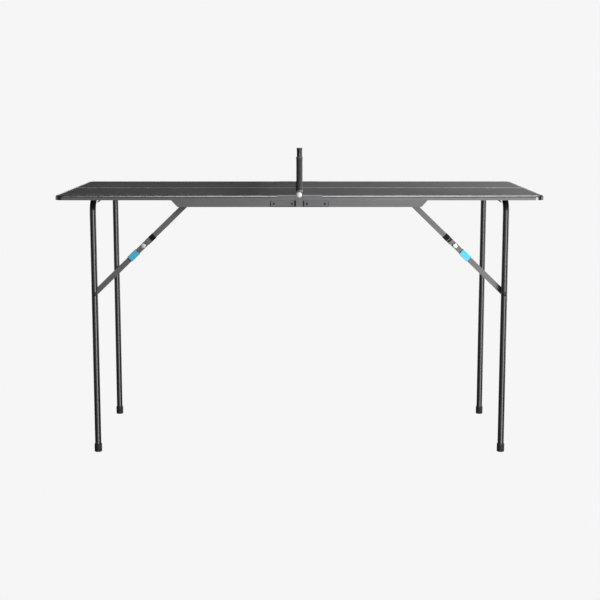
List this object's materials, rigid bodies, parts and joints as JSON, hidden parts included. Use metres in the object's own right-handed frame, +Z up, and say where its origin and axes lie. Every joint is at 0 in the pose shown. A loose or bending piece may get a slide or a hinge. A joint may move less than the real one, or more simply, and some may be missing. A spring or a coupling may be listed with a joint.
{
  "type": "ping pong table",
  "caption": "Folding midi-size table tennis table with a lift-out net on a centre hinge and two folding leg frames, each braced by jointed links with sliding locking collars.",
  "frame": {"origin": "floor level, under the middle of the table", "axes": "+X along the length from the left half to the right half, +Y across the width away from the front, +Z up"},
  "size_m": [1.38, 0.6594, 0.868],
  "materials": {
    "board": "matte",
    "edge": "satin",
    "rail": "satin",
    "leaf": "satin",
    "link": "satin",
    "leg": "gloss",
    "black_steel": "satin",
    "zinc": "satin",
    "rivet": "satin",
    "collar": "gloss",
    "foot": "matte",
    "black_plastic": "matte",
    "net_bracket": "satin",
    "post": "satin",
    "net_cloth": "matte",
    "net_cord": "matte"
  },
  "bodies": {
    "right_half": {"right_top_board": "board", "right_edge_frame": "edge", "right_edge_blocks": "edge", "right_hinge_leaves": "leaf", "right_hinge_arms": "black_steel", "right_leaf_screws": "black_steel", "right_leg_saddles": "black_steel", "right_brace_brackets": "link", "right_brace_pins": "zinc", "right_bracket_screws": "zinc", "right_back_rail": "rail", "right_front_rail": "rail"},
    "right_leg": {"right_leg_frame": "leg", "right_feet": "foot", "right_leg_rivets": "black_steel", "right_leg_spacers": "black_steel"},
    "right_upper_links": {"right_front_upper_link": "link", "right_back_upper_link": "link", "right_stop_sleeves": "black_plastic"},
    "right_lower_links": {"right_front_lower_link": "link", "right_back_lower_link": "link", "right_link_rivets": "rivet"},
    "right_front_collar": {"right_front_collar": "collar"},
    "right_back_collar": {"right_back_collar": "collar"},
    "left_half": {"left_top_board": "board", "left_edge_frame": "edge", "left_edge_blocks": "edge", "left_hinge_leaves": "leaf", "left_hinge_arms": "black_steel", "left_leaf_screws": "black_steel", "left_leg_saddles": "black_steel", "left_brace_brackets": "link", "left_brace_pins": "zinc", "left_bracket_screws": "zinc", "left_back_rail": "rail", "left_front_rail": "rail"},
    "left_leg": {"left_leg_frame": "leg", "left_feet": "foot", "left_leg_rivets": "black_steel", "left_leg_spacers": "black_steel"},
    "left_upper_links": {"left_front_upper_link": "link", "left_back_upper_link": "link", "left_stop_sleeves": "black_plastic"},
    "left_lower_links": {"left_front_lower_link": "link", "left_back_lower_link": "link", "left_link_rivets": "rivet"},
    "left_front_collar": {"left_front_collar": "collar"},
    "left_back_collar": {"left_back_collar": "collar"},
    "net_carrier": {"front_net_bracket": "net_bracket", "back_net_bracket": "net_bracket", "fold_pins": "rivet"},
    "net": {"front_net_post": "post", "back_net_post": "post", "net_post_caps": "post", "net_side_sleeves": "net_cloth", "net_mesh": "net_cord", "net_top_band": "net_cloth"}
  },
  "joints": [
    {"name": "table_fold", "type": "hinge", "parent": "right_half", "child": "left_half", "pos_m": [0, 0, 0.762], "axis": [0, 1, 0], "range_deg": [0, 180]},
    {"name": "net_tilt", "type": "hinge", "parent": "right_half", "child": "net_carrier", "pos_m": [0, 0, 0.762], "axis": [0, 1, 0], "range_deg": [0, 90]},
    {"name": "net_lift", "type": "slide", "parent": "net_carrier", "child": "net", "axis": [0, 0, 1], "range_m": [0, 0.15]},
    {"name": "right_leg_fold", "type": "hinge", "parent": "right_half", "child": "right_leg", "pos_m": [0.593, 0, 0.7385], "axis": [0, 1, 0], "range_deg": [0, 90]},
    {"name": "right_brace_swing", "type": "hinge", "parent": "right_half", "child": "right_upper_links", "pos_m": [0.3155, 0, 0.7385], "axis": [0, 1, 0], "range_deg": [0, 135.94]},
    {"name": "right_brace_knee", "type": "hinge", "parent": "right_upper_links", "child": "right_lower_links", "pos_m": [0.45102, 0, 0.60738], "axis": [0, -1, 0], "range_deg": [0, 180]},
    {"name": "right_front_collar_slide", "type": "slide", "parent": "right_lower_links", "child": "right_front_collar", "axis": [0.7187, 0, -0.6954], "range_m": [-0.0415, 0.02]},
    {"name": "right_back_collar_slide", "type": "slide", "parent": "right_lower_links", "child": "right_back_collar", "axis": [0.7187, 0, -0.6954], "range_m": [-0.0415, 0.02]},
    {"name": "left_leg_fold", "type": "hinge", "parent": "left_half", "child": "left_leg", "pos_m": [-0.593, 0, 0.7385], "axis": [0, -1, 0], "range_deg": [0, 90]},
    {"name": "left_brace_swing", "type": "hinge", "parent": "left_half", "child": "left_upper_links", "pos_m": [-0.3155, 0, 0.7385], "axis": [0, -1, 0], "range_deg": [0, 135.94]},
    {"name": "left_brace_knee", "type": "hinge", "parent": "left_upper_links", "child": "left_lower_links", "pos_m": [-0.45102, 0, 0.60738], "axis": [0, 1, 0], "range_deg": [0, 180]},
    {"name": "left_front_collar_slide", "type": "slide", "parent": "left_lower_links", "child": "left_front_collar", "axis": [-0.7187, 0, -0.6954], "range_m": [-0.0415, 0.02]},
    {"name": "left_back_collar_slide", "type": "slide", "parent": "left_lower_links", "child": "left_back_collar", "axis": [-0.7187, 0, -0.6954], "range_m": [-0.0415, 0.02]}
  ],
  "couplings": [
    {"joint": "net_tilt", "follows": "table_fold", "ratio": 0.5},
    {"joint": "right_brace_swing", "follows": "right_leg_fold", "ratio": 1.5105},
    {"joint": "right_brace_knee", "follows": "right_leg_fold", "ratio": 2},
    {"joint": "left_brace_swing", "follows": "left_leg_fold", "ratio": 1.5105},
    {"joint": "left_brace_knee", "follows": "left_leg_fold", "ratio": 2}
  ]
}
